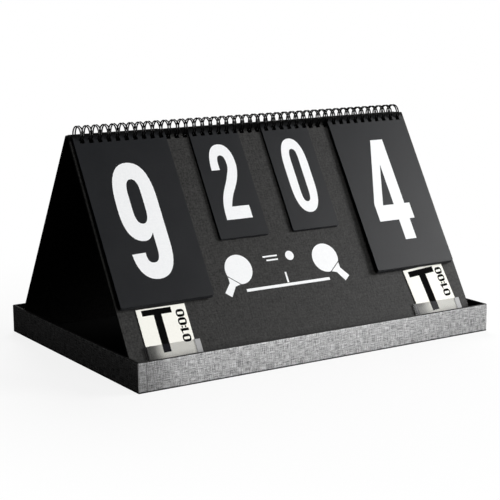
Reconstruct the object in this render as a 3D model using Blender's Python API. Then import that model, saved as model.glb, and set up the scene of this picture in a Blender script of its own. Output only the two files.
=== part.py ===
"""Table tennis score counter: two boards that lean together in a tray, with flip cards on a twin-loop wire.

Metres, +Z up. The origin is under the middle of the tray, X runs along the wire, and the front faces -Y.
"""

import bmesh
import bpy
import numpy as np
from math import asin, atan, cos, pi, radians, sin, sqrt
from mathutils import Matrix, Vector

# Clearance between pieces that touch on the real object
CLEAR = 0.0003

# Twin-loop wire, three loops to the inch
LOOP_PITCH = 0.0254 / 3
LOOP_RADIUS = 0.0078
LEG_SPREAD = 0.0022
LEG_POINTS = 9
WIRE = 0.0012
SEAM_TURN = radians(-8)
SEAM_HALF = radians(7)
WIRE_FORWARD = 0.0012
WIRE_RISE = 0.0006

# Flip cards: wide ones count points and narrow ones count games, with bare loops between the stacks
POINTS_LOOPS = 10
GAMES_LOOPS = 6
BARE_LOOPS = 3
POINTS_MARGIN = 0.0064
GAMES_MARGIN = 0.0041
LEFT_POINTS_SHIFT = -0.0016
RIGHT_POINTS_SHIFT = -0.0003
GAMES_SHIFT = -0.0011
POINTS_LENGTH = 0.1562
GAMES_LENGTH = 0.1062
CARD_THICK = 0.00035
CARD_CORNER = 0.0025
POINTS_FAN = radians(0.6)
GAMES_FAN = radians(0.1)
FAN_STEP = radians(0.1)
POINTS_REST = 0.0005
FRONT_POINTS_CARDS = 4
FRONT_GAMES_CARDS = 3
BACK_POINTS_CARDS = 2
BACK_GAMES_CARDS = 1

# Punched holes, one for each loop
PUNCH_HEIGHT = 0.0046
PUNCH_SIDE_PLAY = 0.0004
PUNCH_STRIP = 0.0026
HANG_PLAY = 0.0002

# Boards that lean together
PANEL_LENGTH = 0.224
PANEL_MARGIN = 0.0104
PANEL_BOARD = 0.0022
PANEL_CORNER = 0.001
TOP_GAP = 0.0007

# Tray that the boards stand in, pushed up to its left end
TRAY_DEPTH = 0.249
TRAY_HEIGHT = 0.0257
TRAY_BOARD = 0.0022
END_PLAY = 0.0049
FOOT_GAP = 0.0054

# Time-out cards and the clear pockets that hold them on the front board
SLIP_WIDTH = 0.0462
SLIP_LENGTH = 0.052
SLIP_THICK = 0.0005
SLIP_LEAN = radians(4.5)
SLIP_SHIFT = 0.0004
LEFT_POCKET_LENGTH = 0.0216
RIGHT_POCKET_LENGTH = 0.0204
POCKET_PLAY = 0.0008
POCKET_FILM = 0.00035
POCKET_WELD = 0.0015
LEFT_POCKET_INSET = 0.0132
RIGHT_POCKET_INSET = 0.0097
POCKET_FROM_FOOT = 0.0097

# Points on a rounded corner
CORNER_POINTS = 5

loop_count = 2 * POINTS_LOOPS + 2 * GAMES_LOOPS + 3 * BARE_LOOPS
panel_width = (loop_count - 1) * LOOP_PITCH + 2 * PANEL_MARGIN
tray_length = panel_width + END_PLAY + 2 * TRAY_BOARD
tent_shift = CLEAR - END_PLAY / 2

# The lean at which a board reaches from the top to its place by the tray's long wall
reach = TRAY_DEPTH / 2 - TRAY_BOARD - FOOT_GAP - TOP_GAP / 2
lean = asin(reach / sqrt(PANEL_LENGTH**2 + PANEL_BOARD**2)) - atan(PANEL_BOARD / PANEL_LENGTH)
top_height = TRAY_BOARD + CLEAR + PANEL_LENGTH * cos(lean)
axis = Vector((tent_shift, -WIRE_FORWARD, top_height + WIRE_RISE))

# The ring that each loop's facets lie in, and the room that a hole gives it
leg_step = (2 * pi - 2 * SEAM_HALF) / (LEG_POINTS - 1)
ring_inside = LOOP_RADIUS * cos(leg_step / 2) - WIRE / 2
ring_outside = LOOP_RADIUS + WIRE / 2
hole_width = LEG_SPREAD + WIRE + 2 * PUNCH_SIDE_PLAY


def clear_scene():
    for thing in list(bpy.data.objects):
        bpy.data.objects.remove(thing, do_unlink=True)


def new_collection(name):
    made = bpy.data.collections.new(name)
    bpy.context.scene.collection.children.link(made)
    return made


def new_material(name, color, roughness, metallic=0.0):
    made = bpy.data.materials.new(name)
    made.use_nodes = True
    shader = made.node_tree.nodes["Principled BSDF"]
    shader.inputs["Base Color"].default_value = (*color, 1.0)
    shader.inputs["Roughness"].default_value = roughness
    shader.inputs["Metallic"].default_value = metallic
    made.diffuse_color = (*color, 1.0)
    return made


def add_object(name, data, finish, parent=None, place=(0, 0, 0)):
    made = bpy.data.objects.new(name, data)
    made.data.materials.append(finish)
    made.parent = parent
    made.location = place
    parts.objects.link(made)
    return made


def box_mesh(name, size):
    mesh = bpy.data.meshes.new(name)
    shape = bmesh.new()
    bmesh.ops.create_cube(shape, size=1.0)
    bmesh.ops.scale(shape, vec=size, verts=shape.verts)
    shape.to_mesh(mesh)
    shape.free()
    return mesh


def outline_points(width, height, corner):
    """A rectangle round the origin with round corners, or square ones where corner is 0."""
    corners = ((1, 1), (-1, 1), (-1, -1), (1, -1))
    if not corner:
        return [(side * width / 2, end * height / 2) for side, end in corners]
    points = []
    for quarter, (side, end) in enumerate(corners):
        middle_x = side * (width / 2 - corner)
        middle_y = end * (height / 2 - corner)
        for count in range(CORNER_POINTS):
            turn = (quarter + count / (CORNER_POINTS - 1)) * pi / 2
            points.append((middle_x + corner * cos(turn), middle_y + corner * sin(turn)))
    return points


def add_outline(curve, x, y, width, height, corner=0.0):
    points = outline_points(width, height, corner)
    spline = curve.splines.new("POLY")
    spline.points.add(len(points) - 1)
    spline.use_cyclic_u = True
    for point, (along, up) in zip(spline.points, points):
        point.co = (x + along, y + up, 0, 1)


def side_frame(front, angle):
    """From a point on the wire's axis, local x runs across, y up the slope and z out of the tent."""
    turn = Matrix.Rotation(0 if front else pi, 4, "Z")
    return Matrix.Translation(axis) @ turn @ Matrix.Rotation(pi / 2 - angle, 4, "X")


def add_pivot(name, front, angle):
    """An empty on the wire's axis, which carries what turns there."""
    empty = bpy.data.objects.new(name, None)
    empty.empty_display_size = LOOP_RADIUS
    empty.matrix_world = side_frame(front, angle)
    parts.objects.link(empty)
    return empty


def punched_sheet(name, thick, size, middle, corner, holes, hole_middle, finish, pivot):
    """A flat sheet with a row of square holes, as one filled outline with some thickness."""
    curve = bpy.data.curves.new(name, "CURVE")
    curve.dimensions = "2D"
    curve.fill_mode = "BOTH"
    curve.extrude = thick / 2
    add_outline(curve, middle[0], middle[1], size[0], size[1], corner)
    for x in holes:
        add_outline(curve, x, hole_middle, hole_width, PUNCH_HEIGHT)
    return add_object(name, curve, finish, pivot, (0, 0, middle[2]))


def loop_x(number):
    """Where a loop, counted from 0, goes through the boards, from the middle of the wire."""
    return (number - (loop_count - 1) / 2) * LOOP_PITCH


def make_tray(finish):
    """Boards glued edge to edge: the long walls run past the base and the end walls."""
    inside_length = tray_length - 2 * TRAY_BOARD - 2 * CLEAR
    inside_depth = TRAY_DEPTH - 2 * TRAY_BOARD - 2 * CLEAR
    base = box_mesh("tray_base", (inside_length, inside_depth, TRAY_BOARD))
    add_object("tray_base", base, finish, place=(0, 0, TRAY_BOARD / 2))
    for name, side in (("tray_front_wall", -1), ("tray_back_wall", 1)):
        wall = box_mesh(name, (tray_length, TRAY_BOARD, TRAY_HEIGHT))
        add_object(name, wall, finish, place=(0, side * (TRAY_DEPTH - TRAY_BOARD) / 2, TRAY_HEIGHT / 2))
    for name, side in (("tray_left_wall", -1), ("tray_right_wall", 1)):
        wall = box_mesh(name, (TRAY_BOARD, inside_depth, TRAY_HEIGHT))
        add_object(name, wall, finish, place=(side * (tray_length - TRAY_BOARD) / 2, 0, TRAY_HEIGHT / 2))


def make_panel(name, front, finish):
    """A board of the tent, punched where the ring goes through it. Returns its pivot, outer face and top."""
    pivot = add_pivot(name + "_pivot", front, lean)
    corner = Vector((tent_shift, (-1 if front else 1) * TOP_GAP / 2, top_height))
    local = side_frame(front, lean).inverted() @ corner
    inner = local.z
    outer = local.z + PANEL_BOARD
    nearest = max(0.0, inner, -outer)
    furthest = max(abs(inner), abs(outer))
    hole_middle = -(sqrt(ring_inside**2 - furthest**2) + sqrt(ring_outside**2 - nearest**2)) / 2
    middle = (0, local.y - PANEL_LENGTH / 2, (inner + outer) / 2)
    holes = [loop_x(number) for number in range(loop_count)]
    size = (panel_width, PANEL_LENGTH)
    punched_sheet(name, PANEL_BOARD, size, middle, PANEL_CORNER, holes, hole_middle, finish, pivot)
    return pivot, outer, local.y


def wire_path():
    """Up one leg of a loop, across its tip, back down the other leg, and straight on to the next loop."""
    turns = [SEAM_TURN + SEAM_HALF + count * leg_step for count in range(LEG_POINTS)]
    path = []
    for number in range(loop_count):
        path += [(loop_x(number) - LEG_SPREAD / 2, turn) for turn in turns]
        path += [(loop_x(number) + LEG_SPREAD / 2, turn) for turn in reversed(turns)]
    return [Vector((x, -LOOP_RADIUS * sin(turn), -LOOP_RADIUS * cos(turn))) for x, turn in path]


def least_gap(path):
    """The smallest gap between stretches of the wire that aren't on the same bend, out to the next loop."""
    samples = []
    for start, end in zip(path, path[1:]):
        parts_of_run = max(1, round((end - start).length / WIRE))
        samples += [start.lerp(end, part / parts_of_run) for part in range(parts_of_run)]
    samples = np.array(samples)
    same_bend = round(2 * LEG_SPREAD / WIRE)
    two_loops = 2 * len(samples) // loop_count
    apart = [
        np.linalg.norm(samples[step:] - samples[:-step], axis=1).min()
        for step in range(same_bend, two_loops)
    ]
    return min(apart) - WIRE


def make_wire(finish):
    curve = bpy.data.curves.new("wire_binding", "CURVE")
    curve.dimensions = "3D"
    curve.bevel_depth = WIRE / 2
    curve.bevel_resolution = 1
    curve.use_fill_caps = True
    path = wire_path()
    spline = curve.splines.new("POLY")
    spline.points.add(len(path) - 1)
    for point, place in zip(spline.points, path):
        point.co = (*place, 1)
    print(f"The wire's least gap to itself is {least_gap(path) * 1000:.2f} mm")
    add_object("wire_binding", curve, finish, place=axis)


def make_cards(name, front, first_loop, kind, shift, rest, fan, outer, cards, finish):
    """Flip cards on the same loops, each further out than the last one and fanned a little more.

    The cards hang a little to one side of their loops, by the shift along the wire.
    """
    loops, margin, length = kind
    middle_x = (loop_x(first_loop) + loop_x(first_loop + loops - 1)) / 2
    if not front:
        middle_x = -middle_x
        shift = -shift
    holes = [middle_x + (count - (loops - 1) / 2) * LOOP_PITCH for count in range(loops)]
    width = (loops - 1) * LOOP_PITCH + 2 * margin
    for count in range(cards):
        out = outer + rest + CARD_THICK / 2 + count * (CARD_THICK + CLEAR)
        hole_top = -sqrt((ring_inside - HANG_PLAY) ** 2 - (out + CARD_THICK / 2) ** 2)
        hole_middle = hole_top - PUNCH_HEIGHT / 2
        middle = (middle_x + shift, hole_top + PUNCH_STRIP - length / 2, out)
        card = f"{name}_card_{count + 1}"
        pivot = add_pivot(card + "_pivot", front, lean + fan + count * FAN_STEP)
        size = (width, length)
        punched_sheet(card, CARD_THICK, size, middle, CARD_CORNER, holes, hole_middle, finish, pivot)


def make_pocket(name, x, foot, outer, width, length, pivot, finish):
    """A clear film over a card's thickness of room, welded to the board down its sides and along its foot."""
    depth = SLIP_THICK + CLEAR
    thick = depth + POCKET_FILM
    middle = (x, foot + length / 2, outer + CLEAR + thick / 2)
    film = add_object(name, box_mesh(name, (width, length, thick)), finish, pivot, middle)
    room_mesh = box_mesh(name + "_room", (width - 2 * POCKET_WELD, length, 2 * depth))
    room = bpy.data.objects.new(name + "_room", room_mesh)
    room.parent = pivot
    room.location = (x, middle[1] + POCKET_WELD, outer + CLEAR)
    room.hide_render = True
    room.display_type = "WIRE"
    cutters.objects.link(room)
    cut = film.modifiers.new("room", "BOOLEAN")
    cut.operation = "DIFFERENCE"
    cut.object = room


def make_slip(name, x, foot, outer, tilt, pivot, finish):
    """A loose card that stands on the pocket's weld and can be pulled up out of it."""
    mesh = box_mesh(name, (SLIP_WIDTH, SLIP_LENGTH, SLIP_THICK))
    half_height = (SLIP_LENGTH * cos(tilt) + SLIP_WIDTH * sin(tilt)) / 2
    place = (x, foot + POCKET_WELD + CLEAR + half_height, outer + CLEAR + SLIP_THICK / 2)
    slip = add_object(name, mesh, finish, pivot, place)
    slip.rotation_euler.z = tilt


clear_scene()
parts = new_collection("score_counter")
cutters = new_collection("score_counter_cutters")

tray_cloth = new_material("tray_cloth", (0.30, 0.30, 0.31), 0.6)
cover_paper = new_material("cover_paper", (0.030, 0.028, 0.027), 0.55)
coated_wire = new_material("coated_wire", (0.008, 0.008, 0.008), 0.2, 0.3)
card_black = new_material("card_black", (0.028, 0.030, 0.032), 0.4)
card_white = new_material("card_white", (0.88, 0.88, 0.82), 0.5)
pocket_film = new_material("pocket_film", (0.75, 0.75, 0.75), 0.15)

make_tray(tray_cloth)
front_pivot, front_outer, front_top = make_panel("front_panel", True, cover_paper)
back_pivot, back_outer, back_top = make_panel("back_panel", False, cover_paper)
make_wire(coated_wire)

# From left to right, each stack starts past the bare loops after the one before it
points_kind = (POINTS_LOOPS, POINTS_MARGIN, POINTS_LENGTH)
games_kind = (GAMES_LOOPS, GAMES_MARGIN, GAMES_LENGTH)
first = 0
stacks = (
    ("left_points", LEFT_POINTS_SHIFT),
    ("left_games", GAMES_SHIFT),
    ("right_games", GAMES_SHIFT),
    ("right_points", RIGHT_POINTS_SHIFT),
)
for name, shift in stacks:
    wide = name.endswith("points")
    kind = points_kind if wide else games_kind
    rest = POINTS_REST if wide else CLEAR
    fan = POINTS_FAN if wide else GAMES_FAN
    front_cards = FRONT_POINTS_CARDS if wide else FRONT_GAMES_CARDS
    back_cards = BACK_POINTS_CARDS if wide else BACK_GAMES_CARDS
    front_name = name + "_front"
    make_cards(front_name, True, first, kind, shift, rest, fan, front_outer, front_cards, card_black)
    back_name = name + "_back"
    make_cards(back_name, False, first, kind, shift, CLEAR, GAMES_FAN, back_outer, back_cards, card_black)
    first += kind[0] + BARE_LOOPS

# The pockets fit the card that leans the most
pocket_width = SLIP_WIDTH * cos(SLIP_LEAN) + SLIP_LENGTH * sin(SLIP_LEAN) + 2 * POCKET_PLAY + 2 * POCKET_WELD
pocket_foot = front_top - PANEL_LENGTH + POCKET_FROM_FOOT
left_x = LEFT_POCKET_INSET + pocket_width / 2 - panel_width / 2
right_x = panel_width / 2 - RIGHT_POCKET_INSET - pocket_width / 2
pockets = (("left", left_x, LEFT_POCKET_LENGTH, 0.0), ("right", right_x, RIGHT_POCKET_LENGTH, SLIP_LEAN))
for name, x, length, tilt in pockets:
    slip = name + "_time_out_card"
    make_pocket(name + "_pocket", x, pocket_foot, front_outer, pocket_width, length, front_pivot, pocket_film)
    make_slip(slip, x - SLIP_SHIFT, pocket_foot, front_outer, tilt, front_pivot, card_white)
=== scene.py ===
# Table tennis score counter: two black boards on one wire, standing as a tent in a cloth-covered tray.
# Metres, +Z up. X runs along the wire from left to right, and the front faces -Y.
import bmesh
import bpy
from math import cos, pi, radians, sin
from mathutils import Matrix, Quaternion, Vector


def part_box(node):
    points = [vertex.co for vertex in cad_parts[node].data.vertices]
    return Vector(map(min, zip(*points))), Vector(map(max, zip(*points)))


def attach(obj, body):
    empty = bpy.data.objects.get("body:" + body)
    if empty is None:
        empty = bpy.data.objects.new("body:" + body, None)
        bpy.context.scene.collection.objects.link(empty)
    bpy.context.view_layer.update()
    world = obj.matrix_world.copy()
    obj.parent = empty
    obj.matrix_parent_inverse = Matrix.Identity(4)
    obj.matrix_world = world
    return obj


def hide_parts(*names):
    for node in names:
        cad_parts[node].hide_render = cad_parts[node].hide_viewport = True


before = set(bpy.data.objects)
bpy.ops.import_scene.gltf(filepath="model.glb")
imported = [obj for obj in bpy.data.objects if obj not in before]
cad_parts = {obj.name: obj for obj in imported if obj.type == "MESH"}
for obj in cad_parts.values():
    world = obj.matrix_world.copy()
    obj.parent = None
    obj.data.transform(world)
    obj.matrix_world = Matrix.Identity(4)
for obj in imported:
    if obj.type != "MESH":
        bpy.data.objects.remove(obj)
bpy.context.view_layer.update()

# The middle of the wire's ring and of its row of loops: the boards hang from it, and every card turns on it.
WIRE_AXIS = Vector((-0.00215, -0.0012, 0.195529))

# The picture is taken from the front left, a little above the table, with a long lens from 1.3 m away.
# The angle, the distance and the lens come from fitting the tray, the boards and the wire's holes.
VIEW_TURN = radians(-32.592)
VIEW_RISE = radians(10.928)
VIEW_ROLL = radians(-0.436)
VIEW_DISTANCE = 1.31106
VIEW_TARGET = Vector((0, -0.00259, 0.07776))
VIEW_LENS = 101.7
VIEW_SENSOR = 36

view_back = Vector((sin(VIEW_TURN) * cos(VIEW_RISE), -cos(VIEW_TURN) * cos(VIEW_RISE), sin(VIEW_RISE)))
camera_data = bpy.data.cameras.new("picture_camera")
camera_data.sensor_width = VIEW_SENSOR
camera_data.lens = VIEW_LENS
camera_data.clip_start = 0.05
camera_data.clip_end = 40
camera = bpy.data.objects.new("picture_camera", camera_data)
camera.location = VIEW_TARGET + view_back * VIEW_DISTANCE
camera.rotation_mode = "QUATERNION"
camera.rotation_quaternion = (-view_back).to_track_quat("-Z", "Y") @ Quaternion((0, 0, 1), VIEW_ROLL)
bpy.context.scene.collection.objects.link(camera)
bpy.context.scene.camera = camera
bpy.context.scene.view_settings.view_transform = "Standard"


# The studio: a white table under a white sky, a large soft lamp at the right, a weaker one in front and a
# third behind. The table's white is mostly its own, and it throws hardly any light back up at the counter.
class Flow:
    """One value in a shader. Sums and products of such values add the Math nodes that work them out."""

    def __init__(self, finish, socket):
        self.finish = finish
        self.socket = socket

    def maths(self, operation, other=0.0):
        """The result of a Math node, such as MAXIMUM or SINE, on this value and perhaps another."""
        return self.finish.node("ShaderNodeMath", {"operation": operation}, {0: self, 1: other})

    def __add__(self, other):
        return self.maths("ADD", other)

    def __sub__(self, other):
        return self.maths("SUBTRACT", other)

    def __rsub__(self, other):
        return self.finish.node("ShaderNodeMath", {"operation": "SUBTRACT"}, {0: other, 1: self})

    def __mul__(self, other):
        return self.maths("MULTIPLY", other)

    __radd__ = __add__
    __rmul__ = __mul__

    def clamped(self):
        """The value, held between 0 and 1."""
        return self.maths("MAXIMUM", 0.0).maths("MINIMUM", 1.0)


class Finish:
    """A material under construction: node() adds any node, and feed() sets or links one of its sockets."""

    def __init__(self, name, tree=None):
        if tree is None:
            self.material = bpy.data.materials.new(name)
            self.material.use_nodes = True
            tree = self.material.node_tree
            self.shader = tree.nodes["Principled BSDF"]
        self.tree = tree

    def feed(self, socket, value):
        """Links a shader value to a socket, or sets the socket to a constant."""
        if isinstance(value, Flow):
            self.tree.links.new(value.socket, socket)
        elif isinstance(value, tuple) and socket.type == "RGBA":
            socket.default_value = (*value, 1.0)
        else:
            socket.default_value = value

    def node(self, kind, settings=None, sockets=None, output=0):
        """Adds a node with its settings first and then its sockets, and gives one of its outputs."""
        made = self.tree.nodes.new(kind)
        for key, value in (settings or {}).items():
            setattr(made, key, value)
        for key, value in (sockets or {}).items():
            self.feed(made.inputs[key], value)
        return Flow(self, made.outputs[output])

    def surface(self, **sockets):
        """Feeds sockets of the Principled shader, named with _ for a space."""
        for key, value in sockets.items():
            self.feed(self.shader.inputs[key.replace("_", " ")], value)

    def mix_colour(self, share, first, second):
        """A colour between two others. The Mix node keeps its colour sockets at 6 and 7."""
        return self.node("ShaderNodeMix", {"data_type": "RGBA"}, {0: share, 6: first, 7: second}, 2)

    def ramp(self, value, low, high):
        """0 up to the low value, 1 from the high one, and an eased rise between them."""
        sockets = {"Value": value, "From Min": low, "From Max": high}
        return self.node("ShaderNodeMapRange", {"interpolation_type": "SMOOTHSTEP"}, sockets)

    def darker_below(self, value, strength, low, high):
        """A factor of 1 from the high value up, less the whole strength from the low value down."""
        return 1 - strength * (1 - self.ramp(value, low, high))

    def place(self, stretch=(1, 1, 1), kind="Object"):
        """Object or UV coordinates in metres, stretched along each axis."""
        where = self.node("ShaderNodeTexCoord", output=kind)
        return self.node("ShaderNodeMapping", None, {"Vector": where, "Scale": stretch})

    def axis(self, where, index):
        """One coordinate of a place: 0 for x, 1 for y and 2 for z."""
        return self.node("ShaderNodeSeparateXYZ", None, {0: where}, index)

    def noise(self, scale, where, detail=2.0, roughness=0.5):
        sockets = {"Vector": where, "Scale": scale, "Detail": detail, "Roughness": roughness}
        return self.node("ShaderNodeTexNoise", None, sockets)

    def bump(self, height, distance, strength=1.0):
        """Gives the surface a relief, whose full height is a distance in metres."""
        sockets = {"Height": height, "Distance": distance, "Strength": strength}
        self.surface(Normal=self.node("ShaderNodeBump", None, sockets))


FLOOR_SIDE = 12.0
FLOOR_LIT = (0.95, 0.95, 0.95)
FLOOR_FOR_BOUNCES = (0.012, 0.012, 0.012)
FLOOR_OWN_WHITE = 0.87
SHADOW_REACH = (0.25, 0.50)
ROOM_LIGHT = 0.024
ROOM_GLOSS = 0.10
WHITE = (1.0, 1.0, 1.0)


def rays(finish, *kinds):
    """1 for rays of the named kinds, 0 for all others."""
    found = [finish.node("ShaderNodeLightPath", output=kind) for kind in kinds]
    total = found[0]
    for other in found[1:]:
        total = total.maths("MAXIMUM", other)
    return total


floor_finish = Finish("white_table")
seen = rays(floor_finish, "Is Camera Ray", "Is Transmission Ray")
far_off = floor_finish.node("ShaderNodeVectorMath", {"operation": "LENGTH"}, {0: floor_finish.place()}, 1)
far_off = floor_finish.ramp(far_off, *SHADOW_REACH)
own_share = seen * (FLOOR_OWN_WHITE + (1 - FLOOR_OWN_WHITE) * far_off)
own_white = floor_finish.node("ShaderNodeEmission", None, {"Color": WHITE})
lit_colour = floor_finish.mix_colour(seen, FLOOR_FOR_BOUNCES, FLOOR_LIT)
lit_white = floor_finish.node("ShaderNodeBsdfDiffuse", None, {"Color": lit_colour})
mixed = floor_finish.node("ShaderNodeMixShader", None, {0: own_share, 1: lit_white, 2: own_white})
floor_finish.feed(floor_finish.tree.nodes["Material Output"].inputs["Surface"], mixed)

floor_mesh = bpy.data.meshes.new("table_top")
half = FLOOR_SIDE / 2
floor_corners = [(-half, -half, 0), (half, -half, 0), (half, half, 0), (-half, half, 0)]
floor_mesh.from_pydata(floor_corners, [], [(0, 1, 2, 3)])
floor_mesh.materials.append(floor_finish.material)
table_top = bpy.data.objects.new("table_top", floor_mesh)
bpy.context.scene.collection.objects.link(table_top)

world = bpy.data.worlds.new("white_room")
world.use_nodes = True
bpy.context.scene.world = world
room = Finish("white_room", world.node_tree)
room_seen = rays(room, "Is Camera Ray", "Is Transmission Ray")
room_gloss = rays(room, "Is Glossy Ray")
background = world.node_tree.nodes["Background"]
dim = ROOM_LIGHT + room_gloss * (ROOM_GLOSS - ROOM_LIGHT)
room.feed(background.inputs["Strength"], dim + room_seen * (1 - dim))
room.feed(background.inputs["Color"], WHITE)


def add_lamp(name, turn, rise, distance, side, watts):
    """A square soft lamp that looks at the middle of the counter from a turn and a rise in degrees."""
    turn, rise = radians(turn), radians(rise)
    way = Vector((sin(turn) * cos(rise), -cos(turn) * cos(rise), sin(rise)))
    lamp = bpy.data.lights.new(name, "AREA")
    lamp.shape = "SQUARE"
    lamp.size = side
    lamp.energy = watts
    holder = bpy.data.objects.new(name, lamp)
    holder.location = VIEW_TARGET + way * distance
    holder.rotation_euler = (-way).to_track_quat("-Z", "Y").to_euler()
    bpy.context.scene.collection.objects.link(holder)


add_lamp("key_lamp", turn=64, rise=23, distance=3.2, side=1.4, watts=96)
add_lamp("front_lamp", turn=10, rise=11, distance=3.2, side=1.2, watts=56)
add_lamp("back_lamp", turn=150, rise=45, distance=2.2, side=1.0, watts=34)

# The tray is grey board, glued into a shallow box and covered in a silver-grey woven cloth. The cloth is
# drawn up to the rim, and the black paper that lines the inside is folded over the rim's inner half.
RIM_ROUND = 0.0007
FOOT_ROUND = 0.0004
TRAY_CORNER = 0.0011
INNER_CORNER = 0.0002
LINING_OVER_RIM = 0.0013
LINING_THICK = 0.00012
LINING_BEND = 0.0004
CLOTH_THREAD = 0.00080
CLOTH_LIGHT = (0.90, 0.90, 0.902)
CLOTH_DARK = (0.12, 0.12, 0.122)
FOLD_AT = 0.0078
SOFT_EDGE = radians(40)

# How finely the threads and the clouds of the cloth vary, in waves per metre along it and up it.
LEVEL_THREADS = (130, 1700, 1)
UPRIGHT_THREADS = (1700, 140, 1)
CLOTH_SPECKS = (1700, 1700, 1)
CLOTH_CLOUDS = (110, 130, 1)

# The strength of each painted shade on the cloth, and of the painted highlight below its rim, and the two
# distances between which it rises or falls. They stand for how the lamps fall on the tray: shade at its foot,
# in a fold, at both ends and on the rim's top.
FOOT_SHADE = (0.88, 0.0009, 0.0017)
FOLD_SHADE = (0.35, 0.0002, 0.0007)
LEFT_END_SHADE = (0.42, 0.0090, 0.0450)
RIGHT_END_SHADE = (0.20, 0.0040, 0.1600)
# Just below the rim a light line is painted on as a highlight, and the rim's top is painted in shade.
RIM_PAINTED_HIGHLIGHT = (0.20, 0.0240, 0.0246)
RIM_SHADE = (0.90, 0.0250, 0.0253)


def ring_points(half_x, half_y, corner, height, steps=5):
    """A rectangle with round corners at one height, counter-clockwise from above."""
    points = []
    for quarter, (side, end) in enumerate(((1, 1), (-1, 1), (-1, -1), (1, -1))):
        middle = Vector((side * (half_x - corner), end * (half_y - corner), height))
        for step in range(steps + 1):
            turn = (quarter + step / steps) * pi / 2
            points.append(middle + corner * Vector((cos(turn), sin(turn), 0)))
    return points


def loft(rings):
    """Joins rings of points into one closed skin, from the first ring's cap to the last one's."""
    points = [point for ring in rings for point in ring]
    count = len(rings[0])
    faces = [tuple(reversed(range(count)))]
    for level in range(len(rings) - 1):
        for here in range(count):
            after = (here + 1) % count
            low, high = level * count, (level + 1) * count
            faces.append((low + here, low + after, high + after, high + here))
    top = (len(rings) - 1) * count
    faces.append(tuple(range(top, top + count)))
    return points, faces


def add_uv(mesh):
    """Lays a metre-true UV map on each face, along the two axes that the face spans most."""
    layer = mesh.uv_layers.new(name="cloth_run")
    for face in mesh.polygons:
        turned = max(range(3), key=lambda axis: abs(face.normal[axis]))
        across, up = ((1, 2), (0, 2), (0, 1))[turned]
        for corner in face.loop_indices:
            place = mesh.vertices[mesh.loops[corner].vertex_index].co
            layer.data[corner].uv = (place[across], place[up])


def new_piece(name, points, faces, finish, body, slot=None, smooth=0.0):
    """A piece from points and faces. Edges that turn by less than the smooth angle are shaded round."""
    mesh = bpy.data.meshes.new(name)
    mesh.from_pydata(points, [], faces)
    return add_piece(name, mesh, finish, body, smooth)


def add_piece(name, mesh, finish, body, smooth=0.0):
    """Closes and orients a mesh, gives it its finish, and lets it ride on a body."""
    shape = bmesh.new()
    shape.from_mesh(mesh)
    bmesh.ops.remove_doubles(shape, verts=shape.verts, dist=1e-7)
    bmesh.ops.recalc_face_normals(shape, faces=shape.faces)
    for face in shape.faces:
        face.smooth = smooth > 0
    for edge in shape.edges:
        edge.smooth = smooth > 0 and len(edge.link_faces) == 2 and edge.calc_face_angle() < smooth
    shape.to_mesh(mesh)
    shape.free()
    add_uv(mesh)
    mesh.materials.clear()
    mesh.materials.append(finish)
    made = bpy.data.objects.new(name, mesh)
    bpy.context.scene.collection.objects.link(made)
    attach(made, body)
    return made


def cloth_finish(half_length):
    """A plain weave with thick and thin threads, with painted shade at its foot, its ends, a fold and the
    rim's top, and a painted highlight just below the rim.
    """
    made = Finish("tray_cloth")
    on_cloth = made.node("ShaderNodeTexCoord", output="UV")
    along = made.axis(on_cloth, 0)
    up = made.axis(on_cloth, 1)
    height = made.axis(made.place(), 2)
    over = (along * (pi / CLOTH_THREAD)).maths("SINE")
    under = (up * (pi / CLOTH_THREAD)).maths("SINE")
    crossing = over * under * 0.5 + 0.5
    warp = (1 - under * under) * crossing
    weft = (1 - over * over) * (1 - crossing)
    weave = warp.maths("MAXIMUM", weft)
    level_threads = made.noise(1.0, made.place(LEVEL_THREADS, "UV"), 1)
    upright_threads = made.noise(1.0, made.place(UPRIGHT_THREADS, "UV"), 1)
    specks = made.noise(1.0, made.place(CLOTH_SPECKS, "UV"), 1)
    clouds = made.noise(1.0, made.place(CLOTH_CLOUDS, "UV"), 3)
    threads = weave * 1.1 + level_threads * 1.5 + upright_threads * 1.3
    tone = (threads + specks * 1.2 + clouds * 0.12 - 2.04).clamped()
    from_left = along + half_length
    # Painted light and shade: darker at the foot, in the fold near the left end, on the rim's top and towards
    # both ends, and lighter just below the rim.
    painted_shading = made.darker_below(height, *FOOT_SHADE)
    painted_shading = painted_shading * made.darker_below((from_left - FOLD_AT).maths("ABSOLUTE"), *FOLD_SHADE)
    painted_shading = painted_shading * (1 + RIM_PAINTED_HIGHLIGHT[0] * made.ramp(height, *RIM_PAINTED_HIGHLIGHT[1:]))
    painted_shading = painted_shading * (1 - RIM_SHADE[0] * made.ramp(height, *RIM_SHADE[1:]))
    painted_shading = painted_shading * made.darker_below(from_left, *LEFT_END_SHADE)
    painted_shading = painted_shading * made.darker_below(half_length - along, *RIGHT_END_SHADE)
    colour = made.mix_colour(tone, CLOTH_DARK, CLOTH_LIGHT)
    colour_with_painted_light = made.node("ShaderNodeVectorMath", {"operation": "SCALE"}, {0: colour, "Scale": painted_shading})
    made.surface(Base_Color=colour_with_painted_light, Roughness=0.62 - 0.15 * tone, Specular_IOR_Level=0.1)
    made.bump(weave + level_threads + upright_threads + specks, 0.00012, 0.8)
    return made.material


# A paper's fibres are fine streaks along it and up it, and its clouds are about 2 cm wide. Under the loops a
# painted shadow darkens it, and this shadow fades out between two distances from the wire's axis.
FIBRE_STRETCH = 0.12
FIBRE_GRAIN = 1.5
PAPER_CLOUDS = 45
WIRE_SHADE = (0.0048, 0.0075)
WIRE_SHADE_ROUGH = 0.9


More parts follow.
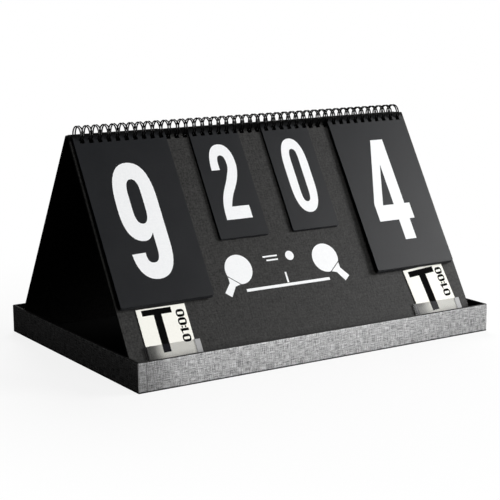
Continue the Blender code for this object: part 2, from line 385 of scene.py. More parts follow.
def paper_finish(name, dark, light, grain, height, rough, gloss, wire_shadow_share=1.0):
    """Paper or card with a pressed grain. Near the wire a painted shadow can hold its colour down to a share
    of its dark colour.
    """
    made = Finish(name)
    where = made.place()
    fine = made.noise(grain, where, 3, 0.6)
    level_fibres = made.noise(grain * FIBRE_GRAIN, made.place((FIBRE_STRETCH, 1, 1)), 2)
    upright_fibres = made.noise(grain * FIBRE_GRAIN, made.place((1, FIBRE_STRETCH, FIBRE_STRETCH)), 2)
    fibres = level_fibres + upright_fibres
    clouds = made.noise(PAPER_CLOUDS, where, 3)
    tone = (fine * 1.7 + fibres * 0.65 + clouds * 0.1 - 1.05).clamped()
    colour = made.mix_colour(tone, dark, light)
    # A painted shadow of the loops: near the wire's axis the colour is darker and rougher.
    if wire_shadow_share < 1:
        way = made.node("ShaderNodeVectorMath", {"operation": "SUBTRACT"}, {0: where, 1: WIRE_AXIS})
        upright_way = {0: way, 1: Vector((0, 1, 1))}
        way = made.node("ShaderNodeVectorMath", {"operation": "MULTIPLY"}, upright_way)
        from_wire = made.node("ShaderNodeVectorMath", {"operation": "LENGTH"}, {0: way}, 1)
        painted_wire_shadow = 1 - made.ramp(from_wire, *WIRE_SHADE)
        colour = made.mix_colour(painted_wire_shadow, colour, tuple(wire_shadow_share * part for part in dark))
        rough = rough + painted_wire_shadow * (WIRE_SHADE_ROUGH - rough)
    made.surface(Base_Color=colour, Roughness=rough + 0.1 * (clouds - 0.5), Specular_IOR_Level=gloss)
    made.bump(fine + fibres * 0.5, height)
    return made.material


tray_walls = ("tray_front_wall", "tray_back_wall", "tray_left_wall", "tray_right_wall")
tray_boxes = [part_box(node) for node in tray_walls]
tray_high = Vector([max(box[1][axis] for box in tray_boxes) for axis in range(3)])
tray_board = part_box("tray_base")[1][2]
rim_level = tray_high.z - LINING_THICK / 2

# The shell's section, as insets from its outside and heights: up the outside, over the rim, down the inside.
# The lining's section runs the same way, from its own outside, which lies on the board.
rim_turns = [radians(turn) for turn in (0, 30, 60, 90)]
rim_round = [(RIM_ROUND * (1 - cos(turn)), rim_level - RIM_ROUND * (1 - sin(turn))) for turn in rim_turns]
wall_profile = [(FOOT_ROUND, 0.0), (FOOT_ROUND * 0.3, FOOT_ROUND * 0.3), (0.0, FOOT_ROUND)] + rim_round
wall_profile += [(tray_board - inset, height) for inset, height in reversed(rim_round)]
wall_profile.append((tray_board, tray_board))
tray_rings = [
    ring_points(tray_high.x - inset, tray_high.y - inset, max(TRAY_CORNER - inset, INNER_CORNER), height)
    for inset, height in wall_profile
]
tray_cloth = cloth_finish(tray_high.x)
tray_shell = new_piece("tray_shell", *loft(tray_rings), tray_cloth, "tray", "tray_cloth", SOFT_EDGE)
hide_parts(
    "tray_base", "tray_front_wall", "tray_back_wall", "tray_left_wall", "tray_right_wall"
)

lining_paper = paper_finish(
    "lining_paper", (0.005, 0.005, 0.005), (0.010, 0.010, 0.010),
    grain=900, height=0.00004, rough=0.75, gloss=0.1,
)
lining_profile = [
    (0.0, tray_board),
    (0.0, tray_high.z - 2 * LINING_BEND),
    (-LINING_OVER_RIM, tray_high.z - LINING_THICK),
    (-LINING_OVER_RIM, tray_high.z),
    (-LINING_BEND, tray_high.z),
    (0.0, tray_high.z - LINING_BEND / 2),
    (LINING_THICK, tray_high.z - LINING_BEND * 1.5),
    (LINING_THICK, tray_board + LINING_THICK),
]
lining_rings = []
for inset, height in lining_profile:
    half_x = tray_high.x - tray_board - inset
    half_y = tray_high.y - tray_board - inset
    lining_rings.append(ring_points(half_x, half_y, max(INNER_CORNER - inset, INNER_CORNER), height))
new_piece("tray_lining", *loft(lining_rings), lining_paper, "tray", None, SOFT_EDGE)

# The two boards are thick card covered in black paper, punched along their top edge for the wire. They
# lean against each other at the top, and their feet stand in the tray.
BOARD_CORNER = 0.001
BOARD_ROUND = 0.0004
LOOP_PITCH = 0.0254 / 3
LOOP_COUNT = 41
HOLE_WIDTH = 0.0042
HOLE_CORNER = 0.0006

# The corners of the punched holes in a CAD node lie in this band below its top edge, clear of its sides.
HOLE_BAND = (0.0009, 0.0120)
HOLE_SIDE_GAP = 0.0005


class Sheet:
    """How a flat CAD node lies: x across it, y up the slope and z out of the tent, from the wire's axis.
    Of its two wide faces, the outer one looks up."""

    def __init__(self, node):
        self.node = node
        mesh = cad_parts[node].data
        looking_up = [face for face in mesh.polygons if face.normal.z > 0]
        out = max(looking_up, key=lambda face: face.area).normal.copy()
        out.x = 0
        out.normalize()
        across = Vector((1 if out.y < 0 else -1, 0, 0))
        up = out.cross(across)
        self.turn = Matrix((across, up, out)).transposed().to_4x4()
        local = [self.turn.inverted() @ (vertex.co - WIRE_AXIS) for vertex in mesh.vertices]
        self.low = Vector([min(point[axis] for point in local) for axis in range(3)])
        self.high = Vector([max(point[axis] for point in local) for axis in range(3)])
        self.middle = (self.low + self.high) / 2
        self.size = self.high - self.low
        self.local = local

    def matrix(self, level):
        """The frame at some distance out of the tent."""
        return Matrix.Translation(WIRE_AXIS) @ self.turn @ Matrix.Translation((0, 0, level))


def box_contour(middle_x, middle_y, width, height, corner, steps=6, hole=False):
    """A clockwise rectangle with round corners. A hole runs the other way round."""
    ring = ring_points(width / 2, height / 2, corner, 0, steps)
    points = [(middle_x + point.x, middle_y + point.y) for point in ring]
    return points if hole else points[::-1]


def flat_mesh(name, contours, thick, edge, matrix):
    """A filled outline with some thickness and softly rounded edges, laid in place as a closed mesh."""
    curve = bpy.data.curves.new(name, "CURVE")
    curve.dimensions = "2D"
    curve.fill_mode = "BOTH"
    curve.extrude = thick / 2 - edge
    curve.bevel_depth = edge
    curve.bevel_resolution = 1
    curve.offset = -edge
    for contour in contours:
        spline = curve.splines.new("POLY")
        spline.points.add(len(contour) - 1)
        spline.use_cyclic_u = True
        for point, (x, y) in zip(spline.points, contour):
            point.co = (x, y, 0, 1)
    holder = bpy.data.objects.new(name, curve)
    bpy.context.scene.collection.objects.link(holder)
    bpy.context.view_layer.update()
    graph = bpy.context.evaluated_depsgraph_get()
    mesh = bpy.data.meshes.new_from_object(holder.evaluated_get(graph))
    bpy.data.objects.remove(holder, do_unlink=True)
    mesh.transform(matrix)
    return mesh


def loop_places(first, count, side):
    """Where a run of loops stands along the wire, seen from the front (side 1) or from the back (side -1)."""
    places = [(first + step - (LOOP_COUNT - 1) / 2) * LOOP_PITCH for step in range(count)]
    return [place * side for place in places]


def punched_piece(node, first, count, corner, edge, finish, slot):
    """A board or a card on its loops: its CAD node's size and place, with round corners and soft edges."""
    sheet = Sheet(node)
    side = sheet.turn[0][0]
    hole_heights = [
        point.y for point in sheet.local
        if sheet.low.x + HOLE_SIDE_GAP < point.x < sheet.high.x - HOLE_SIDE_GAP
        and sheet.high.y - HOLE_BAND[1] < point.y < sheet.high.y - HOLE_BAND[0]
    ]
    top, foot = max(hole_heights), min(hole_heights)
    contours = [box_contour(sheet.middle.x, sheet.middle.y, sheet.size.x, sheet.size.y, corner)]
    middle_y, height = (top + foot) / 2, top - foot
    for place in loop_places(first, count, side):
        hole = box_contour(place, middle_y, HOLE_WIDTH, height, HOLE_CORNER, steps=3, hole=True)
        contours.append(hole)
    mesh = flat_mesh(node, contours, sheet.size.z, edge, sheet.matrix(sheet.middle.z))
    made = add_piece("dressed_" + node, mesh, finish, node)
    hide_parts(node)
    return sheet


cover_paper = paper_finish(
    "cover_paper", (0.0030, 0.0029, 0.0027), (0.041, 0.0404, 0.039),
    grain=620, height=0.0001, rough=0.48, gloss=0.13, wire_shadow_share=0.15,
)
board_look = (BOARD_CORNER, BOARD_ROUND, cover_paper, "cover_paper")
front_board = punched_piece("front_panel", 0, LOOP_COUNT, *board_look)
punched_piece("back_panel", 0, LOOP_COUNT, *board_look)

# One black plastic-coated wire, bent into pairs of legs that go through the boards and round over the top.
# Each pair ends in a round tip, and a straight run at the bottom leads on to the next pair.
WIRE_THICK = 0.00126
WIRE_SIDES = 10
LOOP_RADIUS = 0.0078
LEG_SPREAD = 0.0022
LINK_BEND = 0.0011
SEAM_START = radians(-1)
SEAM_END = radians(345)
LEG_STEPS = 30
BEND_STEPS = 5
COAT_GRAIN = 350


def bend(middle_x, middle_run, radius, start, end):
    """A round turn of the flat wire about a middle, from one angle to another."""
    turns = [start + (end - start) * step / BEND_STEPS for step in range(BEND_STEPS + 1)]
    return [(middle_x + radius * cos(turn), middle_run + radius * sin(turn)) for turn in turns]


def wire_run():
    """The wire unrolled flat: x along the counter, and the run round the loop's ring."""
    half_spread = LEG_SPREAD / 2
    leg_foot = SEAM_START * LOOP_RADIUS + LINK_BEND
    leg_top = SEAM_END * LOOP_RADIUS - half_spread
    leg = [leg_foot + (leg_top - leg_foot) * step / LEG_STEPS for step in range(1, LEG_STEPS)]
    run = []
    for middle in loop_places(0, LOOP_COUNT, 1):
        run += bend(middle - half_spread - LINK_BEND, leg_foot, LINK_BEND, -pi / 2, 0)
        run += [(middle - half_spread, place) for place in leg]
        run += bend(middle, leg_top, half_spread, pi, 0)
        run += [(middle + half_spread, place) for place in reversed(leg)]
        run += bend(middle + half_spread + LINK_BEND, leg_foot, LINK_BEND, pi, 3 * pi / 2)
    return run


def follow_wire(path_object, finish):
    """Geometry Nodes: a round wire along a path."""
    tree = bpy.data.node_groups.new("wire_along_path", "GeometryNodeTree")
    inputs = {"Path": "Geometry", "Wire radius": "Float", "Sides": "Int", "Coating": "Material"}
    for name, kind in inputs.items():
        tree.interface.new_socket(name=name, in_out="INPUT", socket_type="NodeSocket" + kind)
    tree.interface.new_socket(name="Wire", in_out="OUTPUT", socket_type="NodeSocketGeometry")
    group_in = tree.nodes.new("NodeGroupInput")
    group_out = tree.nodes.new("NodeGroupOutput")
    circle = tree.nodes.new("GeometryNodeCurvePrimitiveCircle")
    sweep = tree.nodes.new("GeometryNodeCurveToMesh")
    sweep.inputs["Fill Caps"].default_value = True
    smooth = tree.nodes.new("GeometryNodeSetShadeSmooth")
    real = tree.nodes.new("GeometryNodeRealizeInstances")
    coat = tree.nodes.new("GeometryNodeSetMaterial")
    links = (
        (group_in.outputs["Path"], sweep.inputs["Curve"]),
        (group_in.outputs["Wire radius"], circle.inputs["Radius"]),
        (group_in.outputs["Sides"], circle.inputs["Resolution"]),
        (circle.outputs["Curve"], sweep.inputs["Profile Curve"]),
        (sweep.outputs["Mesh"], smooth.inputs["Geometry"]),
        (smooth.outputs["Geometry"], real.inputs["Geometry"]),
        (real.outputs["Geometry"], coat.inputs["Geometry"]),
        (group_in.outputs["Coating"], coat.inputs["Material"]),
        (coat.outputs["Geometry"], group_out.inputs["Wire"]),
    )
    for source, target in links:
        tree.links.new(source, target)
    modifier = path_object.modifiers.new("wire", "NODES")
    modifier.node_group = tree
    values = {"Wire radius": WIRE_THICK / 2, "Sides": WIRE_SIDES, "Coating": finish}
    for item in tree.interface.items_tree:
        if item.in_out == "INPUT" and item.name in values:
            modifier[item.identifier] = values[item.name]
    bpy.context.view_layer.update()
    graph = bpy.context.evaluated_depsgraph_get()
    return bpy.data.meshes.new_from_object(path_object.evaluated_get(graph))


wire_coat = Finish("wire_coat")
coat_wear = wire_coat.noise(COAT_GRAIN, wire_coat.place(), 2)
wire_coat.surface(
    Base_Color=wire_coat.mix_colour(coat_wear, (0.001, 0.001, 0.001), (0.003, 0.003, 0.003)),
    Roughness=0.10 + 0.10 * coat_wear,
    Specular_IOR_Level=0.22,
)
wire_coat.bump(coat_wear, 0.00002, 0.5)

wire_curve = bpy.data.curves.new("wire_path", "CURVE")
wire_curve.dimensions = "3D"
wire_points = [
    Vector((x, -LOOP_RADIUS * sin(run / LOOP_RADIUS), -LOOP_RADIUS * cos(run / LOOP_RADIUS))) + WIRE_AXIS
    for x, run in wire_run()
]
wire_spline = wire_curve.splines.new("POLY")
wire_spline.points.add(len(wire_points) - 1)
for point, place in zip(wire_spline.points, wire_points):
    point.co = (*place, 1)
wire_path = bpy.data.objects.new("wire_path", wire_curve)
bpy.context.scene.collection.objects.link(wire_path)
wire_mesh = follow_wire(wire_path, wire_coat.material)
bpy.data.objects.remove(wire_path, do_unlink=True)
wire_finish = wire_coat.material
binding_wire = add_piece("binding_wire", wire_mesh, wire_finish, "binding", radians(60))
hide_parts("wire_binding")

# The flip cards are thin black plastic with a satin face. Wide cards count points and narrow ones games,
# and each has its number in white on the front and the next number on its other side.
CARD_CORNER = 0.0014
CARD_ROUND = 0.00008
INK_THICK = 0.00004
INK_SINK = 0.00001
DIGIT_HEIGHT = 100
DIGIT_GAP = 6.0
DIGIT_STEPS = 10
NINE_WIDTH = 38.3
COLON_DOT = (9, 16)
COLON_FEET = (22, 62)

# Digits a hundred units high, condensed and bold. Two numbers are a straight run to a point, and six are a
# curve: its two handles and its end.
DIGITS = {
    "0": (
        ((0, 62), (0, 88, 7, 101, 19.3, 101), (31.6, 101, 38.6, 88, 38.6, 62), (38.6, 38),
         (38.6, 12, 31.6, -1, 19.3, -1), (7, -1, 0, 12, 0, 38)),
        ((13, 72), (13, 81, 14.6, 86.4, 19.3, 86.4), (24, 86.4, 25.6, 81, 25.6, 72), (25.6, 28),
         (25.6, 19, 24, 13.6, 19.3, 13.6), (14.6, 13.6, 13, 19, 13, 28)),
    ),
    "1": (((13, 0), (13, 75.5), (0, 75.5), (0, 87), (9, 87.5, 15, 92, 16.5, 100), (26, 100), (26, 0)),),
    "2": (
        ((0, 66.5), (0.2, 84, 4.5, 101, 18.6, 101), (31.5, 101, 37, 89, 37, 73),
         (37, 66, 34.7, 58.5, 31.3, 51), (27.5, 43, 22.5, 37.5, 19, 30.5),
         (16.6, 25.5, 14.2, 20.5, 13.2, 16.8), (37.6, 16.8), (37.6, 0), (0.6, 0), (0.6, 12, 1.6, 21, 4.8, 30),
         (8.6, 40.5, 14.4, 47, 19, 57.5), (22, 64, 24, 68, 24, 72.5),
         (24, 81.5, 22, 86, 17.8, 86), (13.6, 86, 11.8, 82, 11.8, 74), (11.8, 66.5)),
    ),
    "3": (
        ((0.8, 72), (0.8, 91, 6.5, 101, 18.8, 101), (31, 101, 37, 92, 37, 76),
         (37, 63, 34.5, 55.5, 29.5, 51.5), (35.5, 47.5, 38.2, 39.5, 38.2, 27), (38.2, 8, 31, -1.2, 19, -1.2),
         (6.5, -1.2, 0, 8, 0, 27), (13, 27), (13, 17.5, 14.8, 13, 19, 13), (23.5, 13, 25.2, 17.5, 25.2, 27.5),
         (25.2, 39, 23, 44, 15.5, 44.3), (14, 44.3), (14, 57.8), (15.5, 57.8), (22.2, 58.3, 24, 63, 24, 73),
         (24, 82.5, 22.5, 86.8, 18.8, 86.8), (14.8, 86.8, 13.2, 82, 13.2, 72)),
    ),
    "4": (
        ((20.4, 100), (34.4, 100), (34.4, 34.9), (40.3, 34.9), (40.3, 19.7), (34.4, 19.7),
         (34.4, 0), (21.9, 0), (21.9, 19.7), (0, 19.7), (0, 37)),
        ((21.9, 75.5), (21.9, 34.9), (9.4, 34.9)),
    ),
    "5": (
        ((2.5, 100), (35.5, 100), (35.5, 86), (14.5, 86), (14.5, 62.5), (16.6, 66, 19.8, 68, 24, 68),
         (33.5, 68, 38.2, 58, 38.2, 36), (38.2, 11, 31.5, -1.2, 19, -1.2), (6.5, -1.2, 0.2, 8, 0.2, 27),
         (13, 27), (13, 17.5, 14.8, 13, 19, 13), (23.8, 13, 25.2, 20, 25.2, 34.5),
         (25.2, 49, 23.8, 55.5, 19.6, 55.5), (16.2, 55.5, 14.6, 53, 14.4, 48.5), (2.5, 48.5)),
    ),
    "7": (
        ((0.5, 100), (37.6, 100), (37.6, 87), (27, 62, 20.5, 33, 19.6, 0), (5.6, 0),
         (7.2, 32, 13.5, 60, 24.2, 85.2), (0.5, 85.2)),
    ),
    "8": (
        ((7.5, 52), (3.2, 56, 1, 63.5, 1, 75), (1, 92, 7, 101, 19.2, 101),
         (31.4, 101, 37.4, 92, 37.4, 75), (37.4, 63.5, 35.2, 56, 30.9, 52), (35.8, 48, 38.3, 39.5, 38.3, 27),
         (38.3, 8, 31.5, -1.2, 19.2, -1.2), (6.9, -1.2, 0.1, 8, 0.1, 27), (0.1, 39.5, 2.6, 48, 7.5, 52)),
        ((13.8, 72.5), (13.8, 82.5, 15.3, 87, 19.2, 87), (23.1, 87, 24.6, 82.5, 24.6, 72.5),
         (24.6, 62.5, 23.1, 58, 19.2, 58), (15.3, 58, 13.8, 62.5, 13.8, 72.5)),
        ((13, 28.5), (13, 39.5, 14.8, 44.5, 19.2, 44.5), (23.6, 44.5, 25.4, 39.5, 25.4, 28.5),
         (25.4, 17.5, 23.6, 13, 19.2, 13), (14.8, 13, 13, 17.5, 13, 28.5)),
    ),
    "9": (
        ((0, 66), (0, 90, 7, 102, 19.3, 102), (31.5, 102, 38.3, 91, 38.3, 68), (38.3, 28),
         (38.3, 8, 31.5, -1.6, 19.3, -1.6), (8.5, -1.6, 2, 7, 1.3, 21.5), (13.6, 22), (13.6, 20),
         (13.6, 15, 15.5, 12.7, 19.2, 12.7), (23.4, 12.7, 25.3, 16.5, 25.3, 24), (25.3, 38.4), (24.2, 36.8),
         (22.3, 33.6, 19.8, 32, 16.3, 32), (6, 32, 0, 42, 0, 58)),
        ((13.1, 74), (13.1, 82.5, 15, 87, 19.2, 87), (23.4, 87, 25.2, 82.5, 25.2, 74), (25.2, 60),
         (25.2, 51.5, 23.4, 47, 19.2, 47), (15, 47, 13.1, 51.5, 13.1, 60)),
    ),
}


def curve_points(start, first_handle, second_handle, end):
    """The points of a cubic curve after its start."""
    points = []
    for step in range(1, DIGIT_STEPS + 1):
        t = step / DIGIT_STEPS
        shares = ((1 - t) ** 3, 3 * t * (1 - t) ** 2, 3 * t * t * (1 - t), t**3)
        corners = list(zip(shares, (start, first_handle, second_handle, end)))
        points.append(tuple(sum(share * corner[axis] for share, corner in corners) for axis in (0, 1)))
    return points


def digit_contours(digit):
    """A digit's outlines as points. A six is a nine turned half round, and a colon is two dots."""
    if digit == ":":
        return [bar(0, COLON_DOT[0], foot, foot + COLON_DOT[1]) for foot in COLON_FEET]
    if digit == "6":
        return [[(NINE_WIDTH - x, DIGIT_HEIGHT - y) for x, y in contour] for contour in digit_contours("9")]
    contours = []
    for runs in DIGITS[digit]:
        points = [runs[0]]
        for run in runs[1:]:
            if len(run) == 2:
                points.append(run)
            else:
                points += curve_points(points[-1], run[0:2], run[2:4], run[4:6])
        contours.append(points)
    return contours


def bar(low_x, high_x, low_y, high_y):
    """A plain clockwise rectangle."""
    return [(low_x, low_y), (low_x, high_y), (high_x, high_y), (high_x, low_y)]


def wind(points, clockwise):
    """An outline turned the wanted way round. In a filled curve, only holes run anticlockwise."""
    turn = sum(a[0] * b[1] - b[0] * a[1] for a, b in zip(points, points[1:] + points[:1]))
    return points if (turn < 0) == clockwise else points[::-1]


def number_contours(number, height, baseline, widen=1.0):
    """All outlines of a number, side by side round its middle. A colon counts as a digit."""
    unit = height / DIGIT_HEIGHT
    digits = []
    for digit in str(number):
        digits.append([[(x * widen, y) for x, y in contour] for contour in digit_contours(digit)])
    widths = [max(x for contour in digit for x, y in contour) for digit in digits]
    start = -(sum(widths) + DIGIT_GAP * (len(widths) - 1)) / 2
    contours = []
    for sign, digit, width in zip(str(number), digits, widths):
        for order, contour in enumerate(digit):
            placed = [((start + x) * unit, baseline + y * unit) for x, y in contour]
            contours.append(wind(placed, order == 0 or sign == ":"))
        start += width + DIGIT_GAP
    return contours


def join_meshes(name, meshes):
    """One mesh out of several, which are removed."""
    shape = bmesh.new()
    for mesh in meshes:
        shape.from_mesh(mesh)
        bpy.data.meshes.remove(mesh)
    joined = bpy.data.meshes.new(name)
    shape.to_mesh(joined)
    shape.free()
    return joined


def print_numbers(sheet, outside, inside, height, baseline, finish, shift=0.0, widen=1.0):
    """A number on the card's outer face and another on its inner face, as two films of ink."""
    films = []
    name = "number_" + sheet.node
    lift = INK_THICK / 2 - INK_SINK
    faces = ((outside, sheet.high.z + lift, 0), (inside, sheet.low.z - lift, pi))
    for number, level, half_turn in faces:
        if number is not None:
            contours = number_contours(number, height, baseline, widen)
            turn = Matrix.Translation((sheet.middle.x + shift, 0, 0)) @ Matrix.Rotation(half_turn, 4, "Y")
            films.append(flat_mesh(name, contours, INK_THICK, 0.0, sheet.matrix(level) @ turn))
    if films:
        add_piece(name, join_meshes(name, films), finish, sheet.node)


card_satin = paper_finish(
    "card_satin", (0.0082, 0.0089, 0.0104), (0.0114, 0.0122, 0.0141),
    grain=900, height=0.000006, rough=0.37, gloss=0.16, wire_shadow_share=0.3,
)
number_ink = paper_finish(
    "number_ink", (0.86, 0.87, 0.88), (0.93, 0.935, 0.94),
    grain=700, height=0.00001, rough=0.5, gloss=0.3,
)
card_look = (CARD_CORNER, CARD_ROUND, card_satin, "flip_card")

# Each stack's name, its first loop and loops, its cards in front and behind, the number that shows, and that
# number's height, its foot from the wire's axis, its shift from the card's middle and its width.
STACKS = (
    ("left_points", (0, 10), (4, 2), 9, (0.1035, -0.1362, -0.0022, 1.0)),
    ("left_games", (13, 6), (3, 1), 2, (0.0717, -0.0923, -0.0002, 1.0)),
    ("right_games", (22, 6), (3, 1), 0, (0.0724, -0.0928, 0.0, 0.95)),
    ("right_points", (31, 10), (4, 2), 4, (0.1030, -0.1320, -0.0033, 0.98)),
)

# At depth 0 lies the outermost card, in front and behind. The cards behind have been turned over already.
for stack, loops, (front_cards, back_cards), showing, (height, baseline, shift, widen) in STACKS:
    for depth in range(front_cards):
        sheet = punched_piece(f"{stack}_front_card_{front_cards - depth}", *loops, *card_look)
        numbers = (showing + depth, showing + depth + 1)
        print_numbers(sheet, *numbers, height, baseline, number_ink, shift, widen)
    for depth in range(back_cards):
        sheet = punched_piece(f"{stack}_back_card_{back_cards - depth}", *loops, *card_look)
        outside = showing - depth if showing >= depth else None
        inside = showing - depth - 1 if showing > depth else None
        print_numbers(sheet, outside, inside, height, baseline, number_ink)

# A white pictogram fills the free place below the narrow cards: two bats, a ball in flight, and the table
# with its net.
PICTURE_MIDDLE = (-0.0085, -0.1375)
BLADE_RADIUS = 0.0136
BLADE_OPEN = radians(32)
BAT_SPREAD = 0.046
BAT_TURN = radians(38)
BALL_RADIUS = 0.0044
BALL_PLACE = (0.0095, 0.0065)
DASH_THICK = 0.0014
TABLE_HALF = 0.0440
TABLE_LEVEL = -0.0186
TABLE_THICK = 0.0026
NET_LOW = 0.0006
NET_HIGH = 0.0105
NET_THICK = 0.0018

# The right half of a bat's handle, from the blade down, and the ball's two dashes: left end, height, length.
HANDLE_RIGHT = ((0.0064, -0.0123), (0.0031, -0.0166), (0.0036, -0.0276))
DASHES = ((-0.0185, 0.0082, 0.015), (-0.0155, 0.0046, 0.012))


def arc(x, y, radius, start, end, steps=44):
    """Points along part of a circle, between two angles."""
    turns = [start + (end - start) * step / steps for step in range(steps + 1)]
    return [(x + radius * cos(turn), y + radius * sin(turn)) for turn in turns]


picture = []
blade = arc(0, 0, BLADE_RADIUS, -pi / 2 + BLADE_OPEN, 3 * pi / 2 - BLADE_OPEN)
handle = [*HANDLE_RIGHT, *((-x, y) for x, y in reversed(HANDLE_RIGHT))]
for side in (-1, 1):
    for outline in (blade, handle):
        turned = [Matrix.Rotation(side * BAT_TURN, 2) @ Vector(point) for point in outline]
        picture.append([(side * BAT_SPREAD + point.x, point.y) for point in turned])
picture.append(arc(*BALL_PLACE, BALL_RADIUS, 0, 2 * pi)[:-1])
for low_x, middle_y, long in DASHES:
    picture.append(bar(low_x, low_x + long, middle_y - DASH_THICK / 2, middle_y + DASH_THICK / 2))
picture.append(bar(-TABLE_HALF, TABLE_HALF, TABLE_LEVEL - TABLE_THICK, TABLE_LEVEL))
picture.append(bar(-NET_THICK / 2, NET_THICK / 2, TABLE_LEVEL + NET_LOW, TABLE_LEVEL + NET_HIGH))
picture = [wind(outline, True) for outline in picture]
on_board = front_board.matrix(front_board.high.z + INK_THICK / 2 - INK_SINK)
on_board = on_board @ Matrix.Translation((*PICTURE_MIDDLE, 0))
picture_mesh = flat_mesh("board_picture", picture, INK_THICK, 0.0, on_board)
add_piece("board_picture", picture_mesh, number_ink, "front_panel")

# Each side has an ivory card with the bar and stem that umpires sign with for a time-out. The card stands
# loose in a clear pocket near the foot of the front board.
SLIP_WIDTH = 0.0462
SLIP_HEIGHT = 0.052
SLIP_THICK = 0.0005
SLIP_CORNER = 0.0004
SLIP_ROUND = 0.0001

# From the card's middle: the bar's left, right, foot and top, then the stem's left, right and foot. The
# minute stands on its side, and its place is that of its baseline and of its middle.
SIGNS = {
    "left": ((-0.0184, 0.0093, 0.0197, 0.0248), (-0.0080, -0.0008, -0.0132)),
    "right": ((-0.0184, 0.0112, 0.0182, 0.0238), (-0.0072, 0.0006, -0.0172)),
}
MINUTE = "01:00"
MINUTE_HEIGHT = 0.0078
MINUTE_WIDEN = 2.3
MINUTE_PLACE = (0.0205, 0.0072)

slip_card = paper_finish(
    "slip_card", (0.91, 0.90, 0.83), (0.98, 0.97, 0.90),
    grain=900, height=0.00002, rough=0.55, gloss=0.3,
)
black_ink = paper_finish(
    "black_ink", (0.0006, 0.0006, 0.0006), (0.002, 0.002, 0.002),
    grain=900, height=0.00001, rough=0.7, gloss=0.02,
)


def upright_of(node, board):
    """A loose card's own frame: the middle of its front face and its turn within the plane of the board."""
    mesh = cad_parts[node].data
    back = board.turn.inverted()
    local = [back @ (vertex.co - WIRE_AXIS) for vertex in mesh.vertices]
    middle = sum(local, Vector()) / len(local)
    front = [point for point in local if point.z > middle.z]
    right_foot = max(front, key=lambda point: point.x - point.y)
    left_foot = min(front, key=lambda point: point.x + point.y)
    tilt = -Vector((1, 0)).angle_signed((right_foot - left_foot).to_2d())
    level = max(point.z for point in local)
    place = Matrix.Translation(WIRE_AXIS) @ board.turn
    return place @ Matrix.Translation((middle.x, middle.y, level)) @ Matrix.Rotation(tilt, 4, "Z")


for side in ("left", "right"):
    node = side + "_time_out_card"
    place = upright_of(node, front_board)
    outline = [box_contour(0, 0, SLIP_WIDTH, SLIP_HEIGHT, SLIP_CORNER)]
    half_depth = Matrix.Translation((0, 0, -SLIP_THICK / 2))
    mesh = flat_mesh(node, outline, SLIP_THICK, SLIP_ROUND, place @ half_depth)
    slip = add_piece("dressed_" + node, mesh, slip_card, node)
    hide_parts(node)
    (left, right, low, high), (stem_left, stem_right, stem_low) = SIGNS[side]
    sign = [(left, high), (right, high), (right, low), (stem_right, low), (stem_right, stem_low)]
    sign += [(stem_left, stem_low), (stem_left, low), (left, low)]
    minute = number_contours(MINUTE, MINUTE_HEIGHT, 0, MINUTE_WIDEN)
    minute = [[(MINUTE_PLACE[0] - y, MINUTE_PLACE[1] + x) for x, y in outline] for outline in minute]
    ink = place @ Matrix.Translation((0, 0, INK_THICK / 2 - INK_SINK))
    film = flat_mesh("sign_" + side, [sign] + minute, INK_THICK, 0.0, ink)
    add_piece("time_out_sign_" + side, film, black_ink, node)

# The pockets are a clear film, welded to the board down both sides and along the foot. The film dulls what
# stands behind it and is milky beside the card. Painted shade darkens it towards its left edge, and painted
# shadow lines run down its left side.
FILM_THICK = 0.00035
FILM_ROUND = 0.00008
FILM_CORNER = 0.0005
WELD_WIDE = 0.0015
WELD_CORNER = 0.0003

# Distances from the film's left edge, or from its right one, between which the film's look changes, and the
# heights between which a film's painted shade can clear towards its foot. Wrinkles shift the borders by a few
# millimetres.
LEFT_SHADE_SPAN = (0.0045, 0.0215)
SHADE_WOBBLE = 0.004
OVER_CARD = (0.0038, 0.0044)
PAST_CARD = (0.0056, 0.0050)
SHADOW_LINE_WIDTH = (0.00018, 0.00060)
CLEAR_HEIGHTS = (0.0255, 0.0315)
CLEAR_WOBBLE = 0.003
WRINKLES = (260, 40, 40)

# Each side's painted shadow lines, measured from the film's left edge, its haze beside the card, and how far
# its painted shade clears.
FILM_SIDES = {
    "left": ((0.0022, 0.0041), 0.0, 0.0),
    "right": ((0.0005, 0.0041), 0.5, 0.4),
}


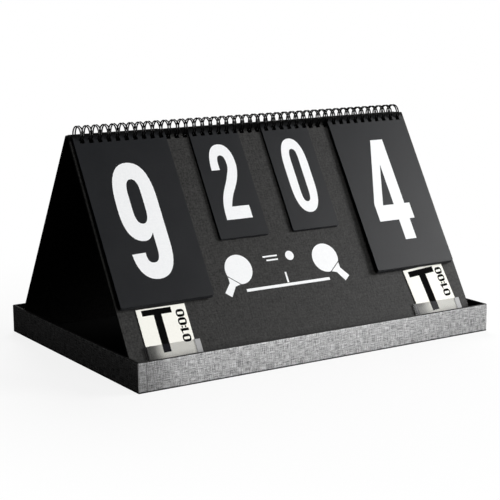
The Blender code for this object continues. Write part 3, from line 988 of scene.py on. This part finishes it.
def film_finish(side, film):
    """Clear over the card, with painted shade towards its left edge, milky past its right edge, and painted
    shadow lines on its left.
    """
    shadow_line_places, haze, clearing = FILM_SIDES[side]
    made = Finish("pocket_film_" + side)
    where = made.place()
    across = made.axis(where, 0) - (WIRE_AXIS.x + film.low.x)
    height = made.axis(where, 2)
    wrinkles = made.noise(1.0, made.place(WRINKLES), 3)
    over_card = made.ramp(across, *OVER_CARD)
    # Painted shade: over the card the film is darker and covers more towards its left edge, and on one side
    # it clears towards the foot.
    low_down = 1 - made.ramp(height + CLEAR_WOBBLE * (wrinkles - 0.5), *CLEAR_HEIGHTS)
    painted_shade = 1 - made.ramp(across + SHADE_WOBBLE * (wrinkles - 0.5), *LEFT_SHADE_SPAN)
    painted_shade = painted_shade * (1 - clearing * low_down)
    in_weld = 1 - made.ramp(across, 0.8 * WELD_WIDE, 1.6 * WELD_WIDE)
    milk = made.ramp(across, film.size.x - PAST_CARD[0], film.size.x - PAST_CARD[1])
    milk = milk.maths("MAXIMUM", haze * (1 - over_card) * (0.4 + 1.2 * wrinkles))
    # Painted shadow lines down the film's left side.
    shadow_lines = [1 - made.ramp((across - place).maths("ABSOLUTE"), *SHADOW_LINE_WIDTH) for place in shadow_line_places]
    painted_shadow_line = shadow_lines[0].maths("MAXIMUM", shadow_lines[1])
    colour = made.mix_colour(painted_shade, (0.030, 0.031, 0.042), (0.03, 0.03, 0.03))
    colour = made.mix_colour(milk, colour, (0.52, 0.52, 0.525))
    cover = (0.03 + (0.11 + 0.42 * painted_shade) * over_card + 0.5 * milk) * (1 - 0.6 * in_weld)
    made.surface(
        Base_Color=made.mix_colour(painted_shadow_line, colour, (0.003, 0.003, 0.003)),
        Roughness=0.22 + 0.15 * wrinkles,
        Specular_IOR_Level=0.3,
        Alpha=cover.maths("MAXIMUM", 0.8 * painted_shadow_line),
    )
    made.bump(wrinkles, 0.0002, 0.5)
    return made.material


for side in ("left", "right"):
    node = side + "_pocket"
    film = Sheet(node)
    finish = film_finish(side, film)
    middle, size = film.middle, film.size
    cover = [box_contour(middle.x, middle.y, size.x, size.y, FILM_CORNER, steps=3)]
    cover_place = film.matrix(film.high.z - FILM_THICK / 2)
    weld_depth = size.z - FILM_THICK
    weld_place = film.matrix(film.low.z + weld_depth / 2)
    inset = WELD_WIDE / 2
    strips = (
        (film.low.x + inset, middle.y, WELD_WIDE, size.y),
        (film.high.x - inset, middle.y, WELD_WIDE, size.y),
        (middle.x, film.low.y + inset, size.x - 2 * WELD_WIDE, WELD_WIDE),
    )
    welds = [box_contour(*strip, WELD_CORNER, steps=2) for strip in strips]
    layers = [
        flat_mesh(node, cover, FILM_THICK, FILM_ROUND, cover_place),
        flat_mesh(node, welds, weld_depth, 0.0, weld_place),
    ]
    pocket = add_piece("film_" + node, join_meshes(node, layers), finish, "front_panel")
    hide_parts(node)
